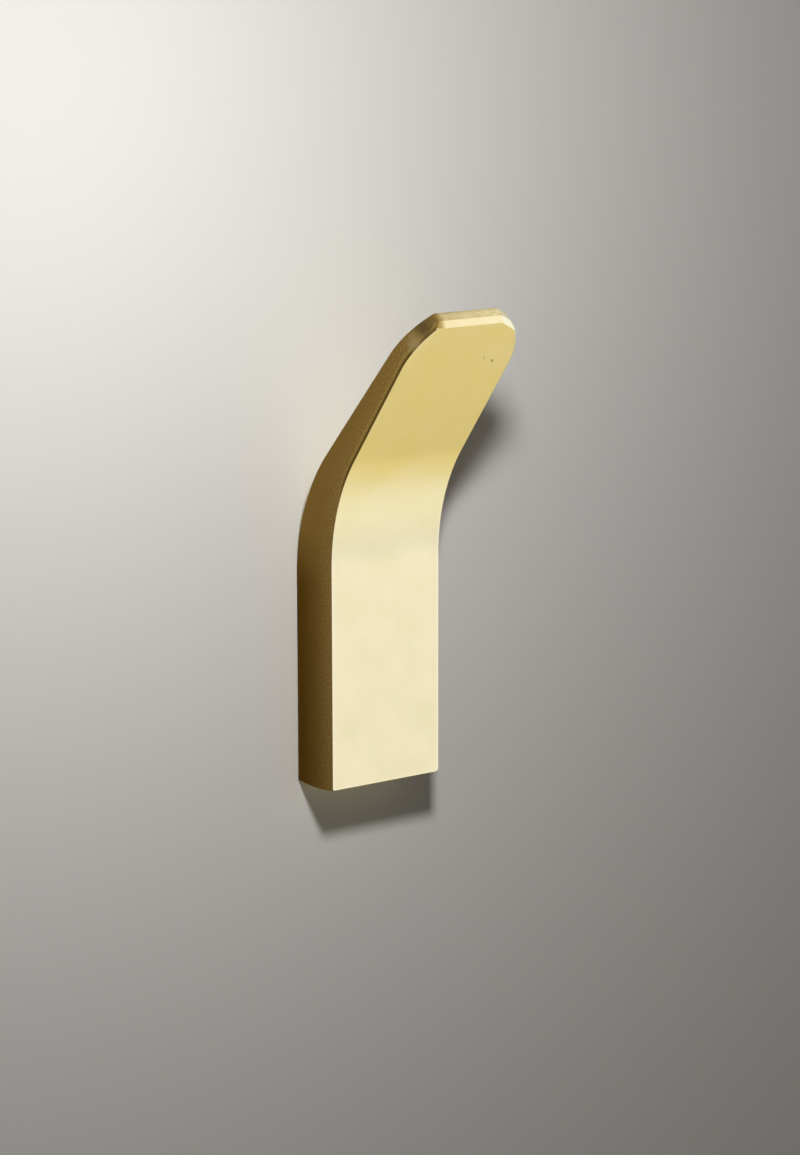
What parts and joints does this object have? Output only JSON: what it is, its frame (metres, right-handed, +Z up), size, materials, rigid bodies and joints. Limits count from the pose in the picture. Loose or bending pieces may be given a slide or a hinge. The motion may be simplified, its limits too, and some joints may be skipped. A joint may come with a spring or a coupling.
{
  "type": "coat hook",
  "caption": "Wall coat hook: a thick brass bar that stands upright on the wall, bends outward and thins to a rounded, truncated tip, held by a hidden hanger bolt.",
  "frame": {"origin": "on the hanger bolt's axis, at the wall's face, where the plate's flat back lies", "axes": "+Z up, along the plate; -Y out of the wall, the way the arm leans; +Y into the wall, along the bolt; +X to the right seen from the front"},
  "size_m": [0.02, 0.06, 0.0738],
  "materials": {
    "satin_brass": "satin, finely brushed",
    "bolt_steel": "zinc plated"
  },
  "bodies": {
    "root": {"hook_body": "satin_brass", "hanger_bolt": "bolt_steel"}
  },
  "joints": []
}
